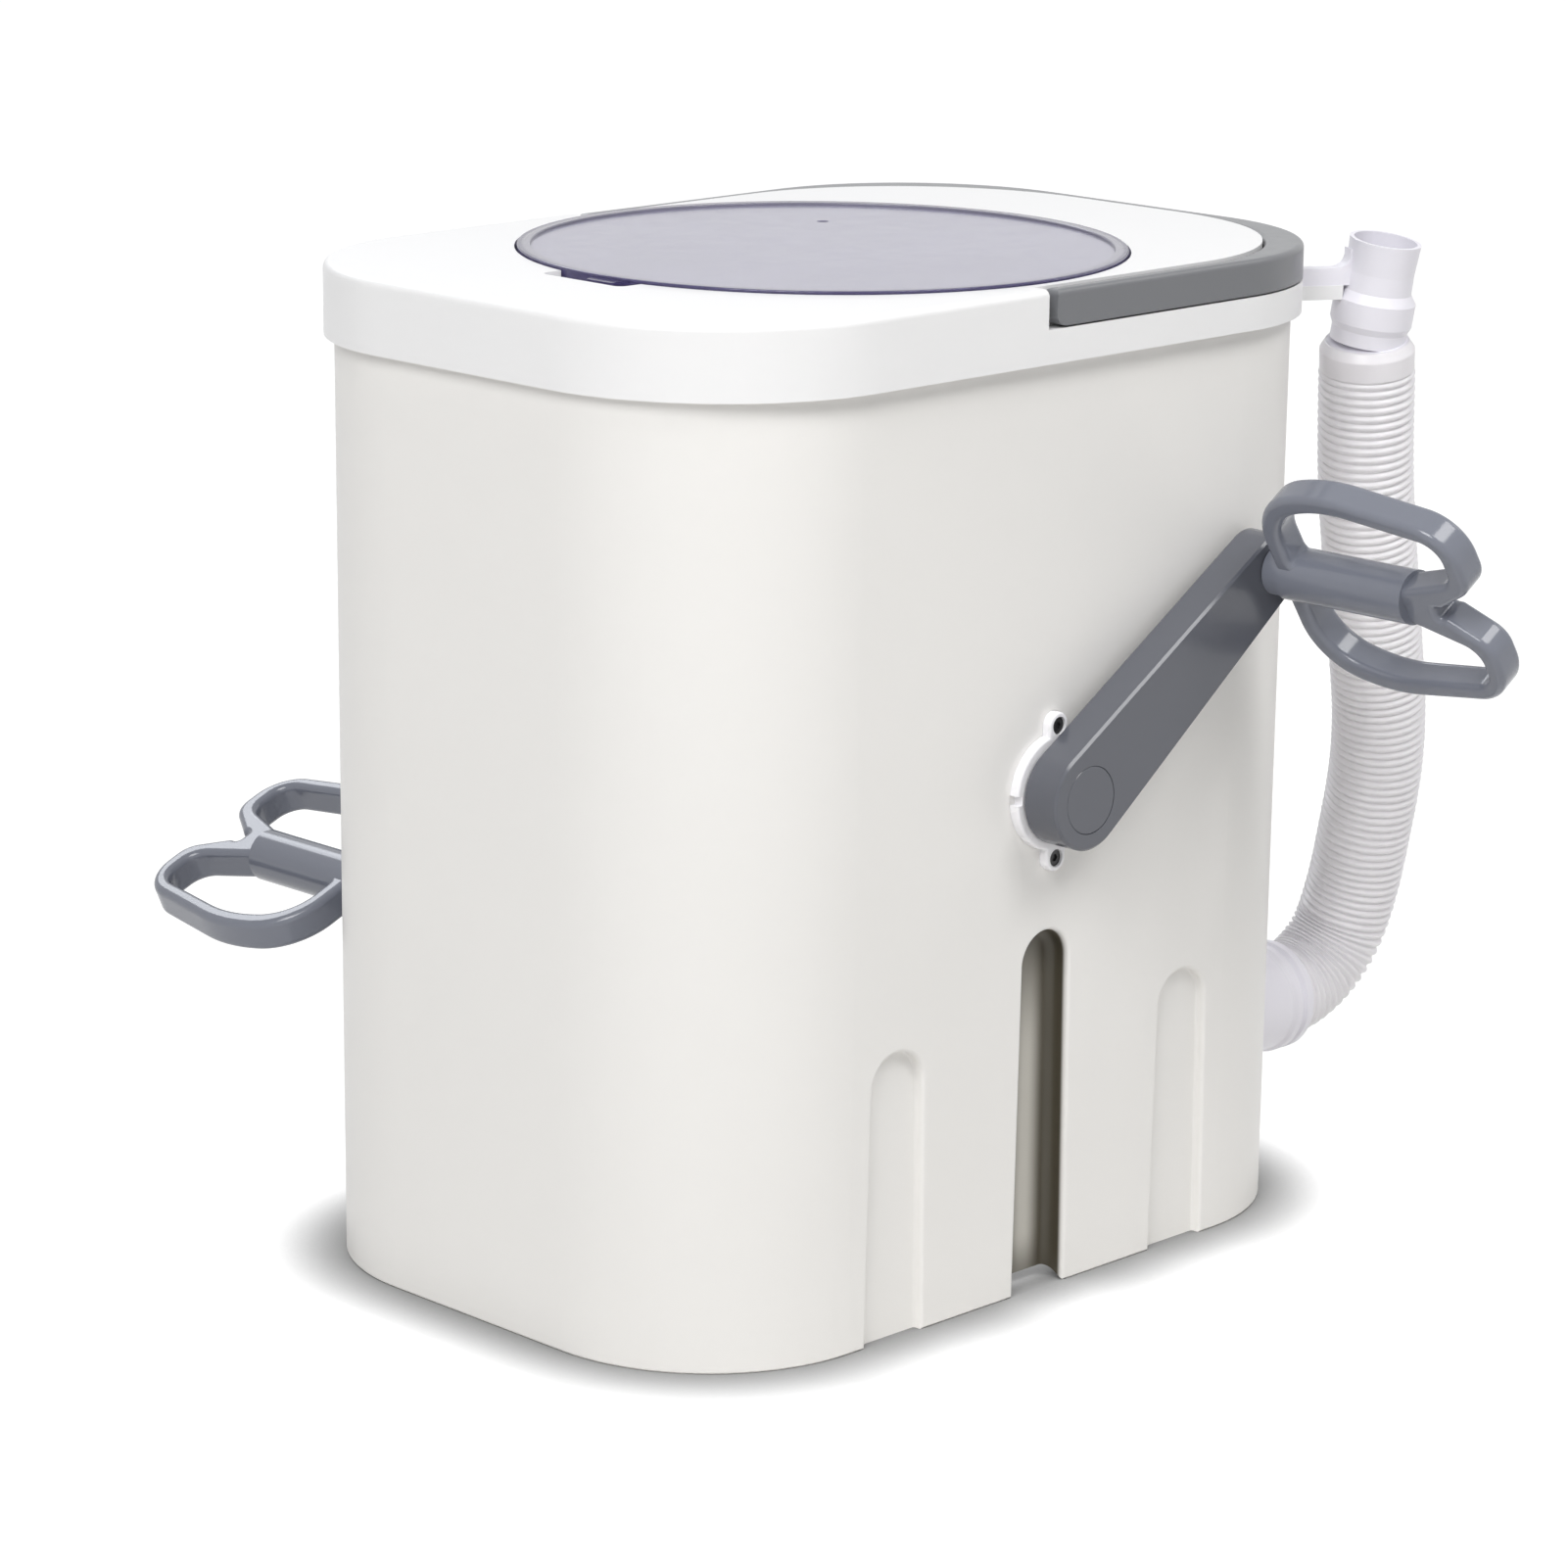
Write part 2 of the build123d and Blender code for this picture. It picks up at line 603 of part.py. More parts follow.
# Both cranks, a half turn apart, with their grips
for end, side, angle, grip_angle in (
    ("front", -1, crank_angle, front_grip_angle),
    ("rear", 1, crank_angle + 180, rear_grip_angle),
):
    along = (cos(radians(angle)), 0, sin(radians(angle)))
    arm_plane = Plane(origin=(0, side * arm_back, hub_height), x_dir=along, z_dir=(0, side, 0))

    with BuildPart() as crank_arm:
        with BuildSketch(arm_plane):
            Circle(arm_hub_radius)
            with Locations((crank_radius, 0)):
                Circle(arm_end_radius)
            make_hull()
        extrude(amount=arm_thickness)
        chamfer(crank_arm.faces().sort_by(Axis((0, 0, 0), (0, side, 0)))[-1].edges(), arm_chamfer)
        with BuildSketch(arm_plane):
            Circle(arm_hub_radius - arm_wall)
            with Locations((crank_radius, 0)):
                Circle(arm_end_radius - arm_wall)
            make_hull()
            Circle(square_size * 0.75 + 3, mode=Mode.SUBTRACT)
            with Locations((crank_radius, 0)):
                Circle(washer_radius + 3, mode=Mode.SUBTRACT)
        extrude(amount=arm_thickness - arm_wall - cap_thickness, mode=Mode.SUBTRACT)
        with BuildSketch(arm_plane):
            Rectangle(square_size + 2 * fit_clearance, square_size + 2 * fit_clearance)
        extrude(amount=square_length, mode=Mode.SUBTRACT)
        with BuildSketch(arm_plane):
            Circle(shank_radius + fit_clearance)
        extrude(amount=arm_thickness, mode=Mode.SUBTRACT)
        with BuildSketch(arm_plane.offset(square_length + arm_web)):
            Circle(head_radius + 0.3)
        extrude(amount=arm_thickness, mode=Mode.SUBTRACT)
        with BuildSketch(arm_plane.offset(arm_thickness - cap_thickness)):
            Circle(cap_radius + fit_clearance)
        extrude(amount=arm_thickness, mode=Mode.SUBTRACT)
        with BuildSketch(arm_plane):
            with Locations((crank_radius, 0)):
                Circle(grip_bush_radius + fit_clearance)
        extrude(amount=arm_thickness, mode=Mode.SUBTRACT)
        with BuildSketch(arm_plane.offset(arm_thickness - grip_bush_flange_thickness)):
            with Locations((crank_radius, 0)):
                Circle(grip_bush_flange + fit_clearance)
        extrude(amount=arm_thickness, mode=Mode.SUBTRACT)
        with BuildSketch(arm_plane):
            with Locations((crank_radius, 0)):
                Circle(washer_radius + 0.6)
        extrude(amount=spindle_recess, mode=Mode.SUBTRACT)
    save(crank_arm, "crank_arm_" + end)

    with BuildPart() as crank_screw:
        with BuildSketch(arm_plane.offset(square_length + arm_web)):
            Circle(head_radius)
        extrude(amount=head_height)
        with BuildSketch(arm_plane.offset(square_length + arm_web)):
            Circle(shank_radius)
        extrude(amount=-shank_length)
        with BuildSketch(arm_plane.offset(square_length + arm_web + 1.2)):
            RegularPolygon(3, 6)
        extrude(amount=head_height, mode=Mode.SUBTRACT)
    save(crank_screw, "crank_screw_" + end)

    with BuildPart() as crank_cap:
        with BuildSketch(arm_plane.offset(arm_thickness - cap_thickness)):
            Circle(cap_radius)
        extrude(amount=cap_thickness)
        chamfer(crank_cap.faces().sort_by(Axis((0, 0, 0), (0, side, 0)))[-1].edges(), 0.4)
    save(crank_cap, "crank_cap_" + end)

    # The spindle's plane has its origin on the arm's outer face, at the spindle's axis
    spindle_plane = Plane(
        origin=(crank_radius * along[0], side * arm_front, hub_height + crank_radius * along[2]),
        x_dir=(cos(radians(grip_angle)), 0, sin(radians(grip_angle))),
        z_dir=(0, side, 0),
    )
    spindle_end = arm_thickness - spindle_recess + 0.3

    with BuildPart() as grip_bush:
        with BuildSketch(spindle_plane):
            Circle(grip_bush_radius)
        extrude(amount=-(arm_thickness - spindle_recess))
        with BuildSketch(spindle_plane):
            Circle(grip_bush_flange)
        extrude(amount=-grip_bush_flange_thickness)
        with BuildSketch(spindle_plane):
            Circle(spindle_radius + running_clearance)
        extrude(amount=-arm_thickness, mode=Mode.SUBTRACT)
    save(grip_bush, "grip_bush_" + end)

    with BuildPart() as grip_spindle:
        with BuildSketch(spindle_plane.offset(-spindle_end)):
            Circle(spindle_radius)
        extrude(amount=spindle_end + spindle_depth)
        with BuildSketch(spindle_plane.offset(-spindle_end)):
            Circle(spindle_screw_radius)
        extrude(amount=10, mode=Mode.SUBTRACT)
    save(grip_spindle, "grip_spindle_" + end)

    with BuildPart() as grip_washer:
        with BuildSketch(spindle_plane.offset(-spindle_end)):
            Circle(washer_radius)
            Circle(spindle_screw_radius, mode=Mode.SUBTRACT)
        extrude(amount=-washer_thickness)
    save(grip_washer, "grip_washer_" + end)

    with BuildPart() as grip_screw:
        with BuildSketch(spindle_plane.offset(-spindle_end - washer_thickness)):
            Circle(spindle_head_radius)
        extrude(amount=-spindle_head_height)
        with BuildSketch(spindle_plane.offset(-spindle_end - washer_thickness)):
            Circle(spindle_screw_radius)
        extrude(amount=washer_thickness + 9)
        with BuildSketch(spindle_plane.offset(-spindle_end - washer_thickness - spindle_head_height)):
            RegularPolygon(2.2, 6)
        extrude(amount=1.2, mode=Mode.SUBTRACT)
    save(grip_screw, "grip_screw_" + end)

    # The loops lie in the plane of the spindle's axis
    across = spindle_plane.x_dir
    loop_plane = Plane(origin=spindle_plane.origin, x_dir=across, z_dir=across.cross(Vector(0, side, 0)))
    grip_end = grip_start + grip_length
    half = grip_half_width
    wall = strap_thickness
    web = barrel_radius - 3
    with BuildPart() as grip:
        with BuildSketch(loop_plane) as loops:
            with BuildLine():
                outer = FilletPolyline(
                    (0, grip_start),
                    (half * 0.82, grip_start),
                    (half, grip_start + 0.37 * grip_length),
                    (half * 0.81, grip_end),
                    (half * 0.28, grip_end),
                    (3.2, grip_end - 18.3),
                    (3.2, grip_end - 22.3),
                    (0, grip_end - 22.3),
                    radius=[29, 70, 20, 12, 2, 1.5],
                )
                Line(outer @ 1, outer @ 0)
            make_face()
            with BuildLine():
                FilletPolyline(
                    (web, grip_start + wall),
                    (half * 0.82 - wall, grip_start + wall),
                    (half - wall, grip_start + 0.37 * grip_length),
                    (half * 0.81 - wall * 0.74, grip_end - wall),
                    (half * 0.28 + wall * 0.36, grip_end - wall),
                    (web, grip_end - 38.7),
                    radius=[5, 21, 60, 9.5, 9, 14],
                    close=True,
                )
            make_face(mode=Mode.SUBTRACT)
            mirror(about=Plane.YZ)
        extrude(amount=grip_depth / 2, both=True)
        flat_faces = grip.faces().sort_by(Axis((0, 0, 0), loop_plane.z_dir))
        fillet(flat_faces[0].edges() + flat_faces[-1].edges(), grip_round)
        with BuildSketch(spindle_plane.offset(grip_start)):
            Circle(barrel_radius)
        extrude(amount=barrel_length - grip_start)
        with BuildSketch(spindle_plane.offset(collar_gap + collar_length)):
            Circle(barrel_radius - 0.6)
        extrude(amount=grip_start)
        with BuildSketch(spindle_plane.offset(collar_gap)):
            Circle(collar_radius)
        extrude(amount=collar_length)
        with BuildSketch(spindle_plane.offset(collar_gap)):
            Circle(spindle_radius)
        extrude(amount=spindle_depth - collar_gap, mode=Mode.SUBTRACT)
    save(grip, "grip_" + end)

# Drain through the end wall. The axis runs outward from the boss.
with BuildPart() as drain_spigot:
    with BuildSketch(drain_axis):
        Circle(spigot_flange_radius)
    extrude(amount=spigot_flange_thickness)
    with BuildSketch(drain_axis.offset(spigot_flange_thickness)):
        Circle(hose_bore - 0.1)
    extrude(amount=spigot_barb_length)
    with BuildSketch(drain_axis):
        Circle(spigot_thread_radius)
    extrude(amount=-(drain_face - drain_inner_face + drain_gasket_thickness + nut_thickness + 5))
    with BuildSketch(drain_axis.offset(spigot_flange_thickness + spigot_barb_length)):
        Circle(spigot_bore)
    extrude(amount=-80, mode=Mode.SUBTRACT)
save(drain_spigot, "drain_spigot")

inner_axis = drain_axis.offset(drain_inner_face - drain_face)
with BuildPart() as drain_gasket:
    with BuildSketch(inner_axis):
        Circle(spigot_flange_radius - 1)
        Circle(spigot_thread_radius + fit_clearance, mode=Mode.SUBTRACT)
    extrude(amount=-drain_gasket_thickness)
save(drain_gasket, "drain_gasket")

with BuildPart() as drain_nut:
    with BuildSketch(inner_axis.offset(-drain_gasket_thickness)):
        RegularPolygon(spigot_flange_radius, 6)
        Circle(spigot_thread_radius + fit_clearance, mode=Mode.SUBTRACT)
    extrude(amount=-nut_thickness)
save(drain_nut, "drain_nut")

with BuildPart() as drain_strainer:
    with BuildSketch(inner_axis.offset(-drain_gasket_thickness - nut_thickness)):
        Circle(spigot_thread_radius + 2)
    extrude(amount=-strainer_length)
    with BuildSketch(inner_axis.offset(-drain_gasket_thickness - nut_thickness)):
        Circle(spigot_thread_radius + fit_clearance)
    extrude(amount=-(strainer_length - 2), mode=Mode.SUBTRACT)
    with BuildSketch(inner_axis.offset(-drain_gasket_thickness - nut_thickness)):
        Circle(2.4)
        with PolarLocations(8.5, 7):
            Circle(2.4)
    extrude(amount=-strainer_length, mode=Mode.SUBTRACT)
save(drain_strainer, "drain_strainer")

# The hose's route, from the nozzle down to the spigot, as straight runs and arcs
hose_end = Vector(hose_start_x, drain_y, drain_height)
route_points = [Vector(nozzle_seat), Vector(nozzle_seat) + Vector(hose_upper_bend)]
route_points += [hose_end + Vector(bend) for bend in hose_lower_bends]
with BuildLine() as route:
    FilletPolyline(*route_points, hose_end, radius=list(hose_bend_radii))
path = route.wire()
hose_length = path.length
print("hose length", round(hose_length, 1))
rib_count = int((hose_length - top_cuff_length - cuff_length) / rib_pitch)


def hose_ring(distance, radius):
    spot = path.position_at(distance / hose_length)
    heading = path.tangent_at(distance / hose_length)
    sideways = Vector(0, 1, 0) - heading * heading.Y
    with BuildSketch(Plane(origin=spot, x_dir=sideways, z_dir=heading)) as flat:
        Circle(radius)
    return flat.sketch


rings = [hose_ring(0, hose_radius - 2.6), hose_ring(3, hose_radius - 0.6), hose_ring(10, hose_radius - 0.4)]
for rib in range(rib_count):
    start = top_cuff_length + rib * rib_pitch
    for share, drop in ((0.0, rib_height), (0.25, 0.0), (0.65, 0.0), (0.9, rib_height)):
        rings.append(hose_ring(start + share * rib_pitch, hose_radius - drop))
rings.append(hose_ring(hose_length - cuff_length + 1, hose_radius - 0.5))
rings.append(hose_ring(hose_length, hose_radius - 0.5))
with BuildPart() as hose:
    loft(sections=rings, ruled=True)
    with BuildSketch(Plane(origin=path @ 0, z_dir=path % 0)):
        Circle(hose_bore)
    sweep(path=path, mode=Mode.SUBTRACT)
print("ribs", rib_count)
save(hose, "hose")

with BuildPart() as hose_cuff:
    with BuildSketch(Plane(origin=(hose_start_x, drain_y, drain_height), x_dir=(1, 0, 0), z_dir=(0, -1, 0))):
        with BuildLine():
            Polyline(
                (0, hose_radius),
                (0, cuff_radius),
                (cuff_length - 15, cuff_radius),
                (cuff_length - 13, cuff_radius + cuff_bead),
                (cuff_length - 9.5, cuff_radius + cuff_bead),
                (cuff_length - 7.5, cuff_radius - 0.6),
                (cuff_length - 6.0, cuff_radius + cuff_bead),
                (cuff_length - 2.5, cuff_radius + cuff_bead),
                (cuff_length, cuff_radius - 0.6),
                (cuff_length, hose_radius),
                close=True,
            )
        make_face()
    revolve(axis=Axis((hose_start_x, drain_y, drain_height), (1, 0, 0)))
save(hose_cuff, "hose_cuff")

# The nozzle bends a little between the hose's direction and its own. Its lug lies on the cover's lug.
nozzle_side = Plane(origin=nozzle_seat, x_dir=nozzle_plane.x_dir, z_dir=nozzle_plane.y_dir * -1)
lug_plane = Plane(
    origin=(corner_x, corner_y, 0),
    x_dir=lug_direction,
    z_dir=(lug_direction[1], -lug_direction[0], 0),
)
lug_top = ear_top + lug_height
lug_root = lug_distance - nozzle_radius + 0.6
nozzle_bore = nozzle_radius - nozzle_wall
with BuildPart() as hose_nozzle:
    with BuildSketch(nozzle_side):
        with BuildLine():
            Polyline(
                (0, -1),
                (nozzle_collar_radius - 1.4, -1),
                (nozzle_collar_radius - 1.4, 5),
                (nozzle_collar_radius, 8),
                (nozzle_collar_radius, 18),
                (nozzle_radius + 0.3, 22),
                (nozzle_radius, 30),
                (mouth_radius, nozzle_length),
                (0, nozzle_length),
                close=True,
            )
        make_face()
    revolve(axis=Axis(nozzle_seat, nozzle_plane.z_dir))
    with BuildSketch(lug_plane):
        with BuildLine():
            edge = FilletPolyline(
                (cover_corner + 0.1, ear_top),
                (cover_corner + 0.1, lug_top),
                (lug_root, lug_top),
                (lug_root, lug_top + lug_round + 2),
                radius=[1.5, lug_round],
            )
            Polyline(edge @ 1, (lug_distance, lug_top + lug_round + 2), (lug_distance, ear_top), edge @ 0)
        make_face()
    extrude(amount=lug_width / 2, both=True)
    with BuildSketch(Plane(origin=nozzle_seat, z_dir=path % 0)):
        Circle(hose_bore - 0.1)
    extrude(amount=nozzle_insert_length)
    with BuildSketch(Plane(origin=nozzle_seat, z_dir=path % 0)):
        Circle(nozzle_bore)
    extrude(amount=nozzle_insert_length, mode=Mode.SUBTRACT)
    with BuildSketch(nozzle_side):
        with BuildLine():
            Polyline(
                (0, -2),
                (nozzle_bore, -2),
                (nozzle_bore, 32),
                (mouth_radius - nozzle_wall, nozzle_length),
                (0, nozzle_length),
                close=True,
            )
        make_face()
    revolve(axis=Axis(nozzle_seat, nozzle_plane.z_dir), mode=Mode.SUBTRACT)
save(hose_nozzle, "hose_nozzle")
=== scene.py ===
import math

import bpy
from mathutils import Matrix, Vector


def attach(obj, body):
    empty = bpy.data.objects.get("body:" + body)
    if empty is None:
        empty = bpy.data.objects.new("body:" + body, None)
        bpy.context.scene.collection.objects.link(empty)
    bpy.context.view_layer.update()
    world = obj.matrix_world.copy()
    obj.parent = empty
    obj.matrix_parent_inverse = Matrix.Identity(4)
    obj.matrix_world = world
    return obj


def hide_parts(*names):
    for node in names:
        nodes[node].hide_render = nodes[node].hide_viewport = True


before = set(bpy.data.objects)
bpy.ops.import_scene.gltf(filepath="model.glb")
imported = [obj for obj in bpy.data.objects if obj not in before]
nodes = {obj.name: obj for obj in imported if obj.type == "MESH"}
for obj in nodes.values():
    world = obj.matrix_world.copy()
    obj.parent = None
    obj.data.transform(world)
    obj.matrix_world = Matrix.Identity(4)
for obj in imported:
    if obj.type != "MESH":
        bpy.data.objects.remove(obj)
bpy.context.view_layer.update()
scene = bpy.context.scene


# Camera: a long lens from the front left, slightly above the cover, as in the photograph.
# Its place and turns come from the perspective of the tub, the cover and the lid.
camera_place = Vector((-1.4918, -1.4702, 0.7289))
camera_yaw = math.radians(45.05)
camera_pitch = math.radians(14.445)
camera_roll = math.radians(0.623)
focal_pixels = 5259.95
frame_pixels = 1601
forward = Vector(
    (
        math.sin(camera_yaw) * math.cos(camera_pitch),
        math.cos(camera_yaw) * math.cos(camera_pitch),
        -math.sin(camera_pitch),
    )
)
level_right = Vector((math.cos(camera_yaw), -math.sin(camera_yaw), 0))
level_up = level_right.cross(forward)
camera_right = level_right * math.cos(camera_roll) + level_up * math.sin(camera_roll)
camera_up = level_up * math.cos(camera_roll) - level_right * math.sin(camera_roll)
lens = bpy.data.cameras.new("camera")
lens.sensor_width = 36
lens.lens = lens.sensor_width * focal_pixels / frame_pixels
lens.clip_end = 20
camera = bpy.data.objects.new("camera", lens)
camera.matrix_world = Matrix(
    (
        (camera_right.x, camera_up.x, -forward.x, camera_place.x),
        (camera_right.y, camera_up.y, -forward.y, camera_place.y),
        (camera_right.z, camera_up.z, -forward.z, camera_place.z),
        (0, 0, 0, 1),
    )
)
scene.collection.objects.link(camera)
scene.camera = camera
scene.view_settings.view_transform = "Standard"


# Studio: a pale room with two large soft lamps high at the left and in front, whose light the cover's
# skirt keeps off the wall, a bluish one high behind the washer and a weak one high at the right. The
# camera and the reflections see plain white round the washer, and the floor keeps its shadow.
def wiring(tree):
    def put(socket, value):
        if isinstance(value, bpy.types.NodeSocket):
            tree.links.new(value, socket)
        else:
            socket.default_value = value

    def add(kind, sockets=(), **settings):
        node = tree.nodes.new(kind)
        for name, value in settings.items():
            setattr(node, name, value)
        for name, value in dict(sockets).items():
            put(node.inputs[name], value)
        return node.outputs

    def calc(operation, first, second=0.0, third=0.0):
        return add("ShaderNodeMath", {0: first, 1: second, 2: third}, operation=operation)[0]

    return put, add, calc


world = bpy.data.worlds.new("room")
scene.world = world
world.use_nodes = True
world.node_tree.nodes.clear()
put, add, calc = wiring(world.node_tree)
room_light = add("ShaderNodeBackground", {"Color": (0.97, 0.98, 1.0, 1), "Strength": 0.27})[0]
room_white = add("ShaderNodeBackground", {"Color": (1, 1, 1, 1), "Strength": 1.0})[0]
rays = add("ShaderNodeLightPath")
room_seen = calc("MAXIMUM", rays["Is Camera Ray"], rays["Is Glossy Ray"])
room_seen = calc("MAXIMUM", room_seen, rays["Is Transmission Ray"])
room_mix = add("ShaderNodeMixShader", {"Fac": room_seen, 1: room_light, 2: room_white})[0]
add("ShaderNodeOutputWorld", {"Surface": room_mix})


def soft_lamp(name, place, target, width, height, energy, colour):
    lamp = bpy.data.lights.new(name, "AREA")
    lamp.shape = "RECTANGLE"
    lamp.size = width
    lamp.size_y = height
    lamp.energy = energy
    lamp.color = colour
    lamp_object = bpy.data.objects.new(name, lamp)
    lamp_object.location = place
    direction = Vector(target) - Vector(place)
    lamp_object.rotation_euler = direction.to_track_quat("-Z", "Y").to_euler()
    scene.collection.objects.link(lamp_object)


soft_lamp("left lamp", (-1.75, -0.75, 1.95), (0, 0, 0.22), 1.2, 1.2, 37, (1, 0.998, 0.995))
soft_lamp("front lamp", (0.15, -1.50, 2.20), (0, 0, 0.22), 1.1, 0.9, 22, (1, 0.995, 0.985))
soft_lamp("rear lamp", (0.7, 2.1, 1.90), (0, 0, 0.25), 1.2, 0.8, 13, (0.92, 0.95, 1))
soft_lamp("fill lamp", (1.7, -0.9, 1.90), (0.1, 0, 0.2), 0.9, 0.8, 5, (1, 0.98, 0.95))

floor_edge = 9.0
floor_corners = ((-1, -1), (1, -1), (1, 1), (-1, 1))
floor_mesh = bpy.data.meshes.new("floor")
floor_mesh.from_pydata([(x * floor_edge, y * floor_edge, 0) for x, y in floor_corners], [], [(0, 1, 2, 3)])
floor = bpy.data.objects.new("floor", floor_mesh)
scene.collection.objects.link(floor)
floor_paint = bpy.data.materials.new("white floor")
floor_paint.use_nodes = True
floor_paint.node_tree.nodes.clear()
put, add, calc = wiring(floor_paint.node_tree)
shadow_reach = 0.036
shadow_depth = 3.0
floor_glow_strength = 0.95
floor_bare = add("ShaderNodeBsdfDiffuse", {"Color": (0.80, 0.79, 0.77, 1)})[0]
floor_shade = add("ShaderNodeBsdfDiffuse", {"Color": (0.22, 0.22, 0.22, 1)})[0]
floor_open = add("ShaderNodeAmbientOcclusion", {"Distance": shadow_reach}, samples=16)["AO"]
floor_open = calc("MULTIPLY", calc("POWER", floor_open, shadow_depth), floor_glow_strength)
floor_glow = add("ShaderNodeEmission", {"Color": (1, 1, 1, 1), "Strength": floor_open})[0]
floor_white = add("ShaderNodeAddShader", {0: floor_shade, 1: floor_glow})[0]
rays = add("ShaderNodeLightPath")
floor_seen = calc("MAXIMUM", rays["Is Camera Ray"], rays["Is Glossy Ray"])
floor_mix = add("ShaderNodeMixShader", {"Fac": floor_seen, 1: floor_bare, 2: floor_white})[0]
add("ShaderNodeOutputMaterial", {"Surface": floor_mix})
floor_mesh.materials.append(floor_paint)


# Tub: one injection moulding of warm off-white polypropylene, matt from the steel of its mould.
# Large soft clouds of colour and a fine skin come from one group that every plastic here shares.
def new_group(name, kind, inputs, outputs):
    group = bpy.data.node_groups.new(name, kind)
    face = group.interface
    for socket_name, socket_type, value in inputs:
        socket = face.new_socket(socket_name, in_out="INPUT", socket_type="NodeSocket" + socket_type)
        if value is not None:
            socket.default_value = value
    for socket_name, socket_type in outputs:
        face.new_socket(socket_name, in_out="OUTPUT", socket_type="NodeSocket" + socket_type)
    start = group.nodes.new("NodeGroupInput").outputs
    end = group.nodes.new("NodeGroupOutput").inputs
    return group, start, end


def moulded_skin_group():
    group, start, end = new_group(
        "moulded skin",
        "ShaderNodeTree",
        (
            ("Place", "Vector", None),
            ("Base", "Color", (0.8, 0.8, 0.8, 1)),
            ("Clouds", "Float", 0.03),
            ("Gloss", "Float", 0.35),
            ("Skin Scale", "Float", 900.0),
            ("Scuffs", "Float", 0.1),
        ),
        (("Color", "Color"), ("Roughness", "Float"), ("Height", "Float")),
    )
    put, add, calc = wiring(group)
    place = start["Place"]
    clouds = add("ShaderNodeTexNoise", {"Vector": place, "Scale": 7.0, "Detail": 3.0})["Fac"]
    amount = calc("MULTIPLY", calc("MULTIPLY_ADD", clouds, 2.0, -1.0), start["Clouds"])
    lift = calc("ADD", amount, 1.0)
    tint = add("ShaderNodeVectorMath", {0: start["Base"], "Scale": lift}, operation="SCALE")
    put(end["Color"], tint[0])

    scuff_sizes = {"Vector": place, "Scale": 55.0, "Detail": 5.0, "Distortion": 1.4}
    scuffs = add("ShaderNodeTexNoise", scuff_sizes)["Fac"]
    rough = calc("ADD", start["Gloss"], calc("MULTIPLY", scuffs, start["Scuffs"]))
    rough.node.use_clamp = True
    put(end["Roughness"], rough)

    skin = add("ShaderNodeTexNoise", {"Vector": place, "Scale": start["Skin Scale"], "Detail": 2.0})
    put(end["Height"], skin["Fac"])
    return group


moulded_skin = moulded_skin_group()


def plastic(
    name,
    base,
    gloss,
    clouds=0.03,
    skin_scale=900.0,
    skin_depth=0.00003,
    scuffs=0.1,
    see_through=0.0,
    over=None,
):
    material = bpy.data.materials.new(name)
    material.use_nodes = True
    shader = material.node_tree.nodes["Principled BSDF"].inputs
    put, add, calc = wiring(material.node_tree)
    place = add("ShaderNodeTexCoord")["Object"]
    skin = add(
        "ShaderNodeGroup",
        {
            "Place": place,
            "Base": (*base, 1),
            "Clouds": clouds,
            "Gloss": gloss,
            "Skin Scale": skin_scale,
            "Scuffs": scuffs,
        },
        node_tree=moulded_skin,
    )
    bump = add("ShaderNodeBump", {"Strength": 0.5, "Distance": skin_depth, "Height": skin["Height"]})
    put(shader["Base Color"], over(add, place, skin["Color"]) if over else skin["Color"])
    put(shader["Roughness"], skin["Roughness"])
    put(shader["Normal"], bump["Normal"])
    put(shader["Transmission Weight"], see_through)
    return material


def blend(add, factor, first, second):
    return add("ShaderNodeMix", {"Factor": factor, "A": first, "B": second}, data_type="RGBA")["Result"]


def finish_node(name, material):
    mesh = nodes[name].data
    mesh.materials.clear()
    mesh.materials.append(material)


# The middle arch's recess is painted far darker than the skin round it, as painted shade: a dark warm brown
# at its sides and top, paler in the middle of its back above the foot.
def recess_mask_group():
    group, start, end = new_group(
        "recess mask",
        "ShaderNodeTree",
        (
            ("Place", "Vector", None),
            ("Half Width", "Float", 0.016),
            ("Top", "Float", 0.155),
            ("Face", "Float", 0.1304),
            ("Back", "Float", 0.1210),
        ),
        (("Mask", "Float"), ("Open", "Float")),
    )
    put, add, calc = wiring(group)

    def fade(value, low, high, at_low, at_high):
        ends = {"Value": value, "From Min": low, "From Max": high, "To Min": at_low, "To Max": at_high}
        return add("ShaderNodeMapRange", ends, interpolation_type="SMOOTHSTEP")["Result"]

    lip = 0.0022
    back_middle = 0.001
    back_share = 0.72
    light_share = 0.62
    light_at_top = 0.15
    light_at_foot = 0.35
    foot_low, foot_high = 0.004, 0.024
    apart = add("ShaderNodeSeparateXYZ", {0: start["Place"]})
    beside = calc("ABSOLUTE", apart["X"])
    out = calc("ABSOLUTE", apart["Y"])
    behind = fade(out, calc("SUBTRACT", start["Face"], lip), start["Face"], 1.0, 0.0)
    before = calc("GREATER_THAN", out, start["Back"])
    between = calc("LESS_THAN", beside, start["Half Width"])
    below = calc("LESS_THAN", apart["Z"], start["Top"])
    put(end["Mask"], calc("MULTIPLY", calc("MULTIPLY", behind, before), calc("MULTIPLY", between, below)))
    middle = fade(beside, back_middle, calc("MULTIPLY", start["Half Width"], back_share), 1.0, 0.0)
    lower = fade(apart["Z"], calc("MULTIPLY", start["Top"], light_share), start["Top"], 1.0, light_at_top)
    upper = fade(apart["Z"], foot_low, foot_high, light_at_foot, 1.0)
    put(end["Open"], calc("MULTIPLY", calc("MULTIPLY", middle, lower), upper))
    return group


recess_mask = recess_mask_group()
